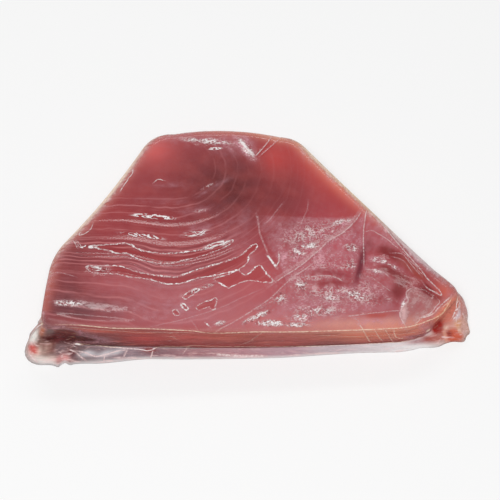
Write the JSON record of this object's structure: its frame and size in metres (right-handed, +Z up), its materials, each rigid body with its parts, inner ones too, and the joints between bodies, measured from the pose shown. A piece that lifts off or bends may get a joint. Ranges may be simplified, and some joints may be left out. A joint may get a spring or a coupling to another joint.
{
  "type": "raw tuna steak",
  "caption": "Raw tuna steak, a thick trapezoid slice of loin with curved muscle flakes, sealed in clear shrink film that is gathered at two corners; lies flat.",
  "frame": {"origin": "under the middle of the whole part's box, at floor level", "axes": "+X to the right along the steak's long cut side, which is at the front; +Y to the back; +Z up through its thickness"},
  "size_m": [0.1976, 0.1188, 0.0225],
  "materials": {
    "tuna_flesh": "wet raw tuna flesh, dark red with paler muscle lines, and orange at the cut rim",
    "clear_film": "clear thin shrink film, glossy, milky where it is creased or stands off the flesh"
  },
  "bodies": {
    "root": {"tuna_steak": "tuna_flesh", "film_hem": "clear_film"}
  },
  "joints": []
}
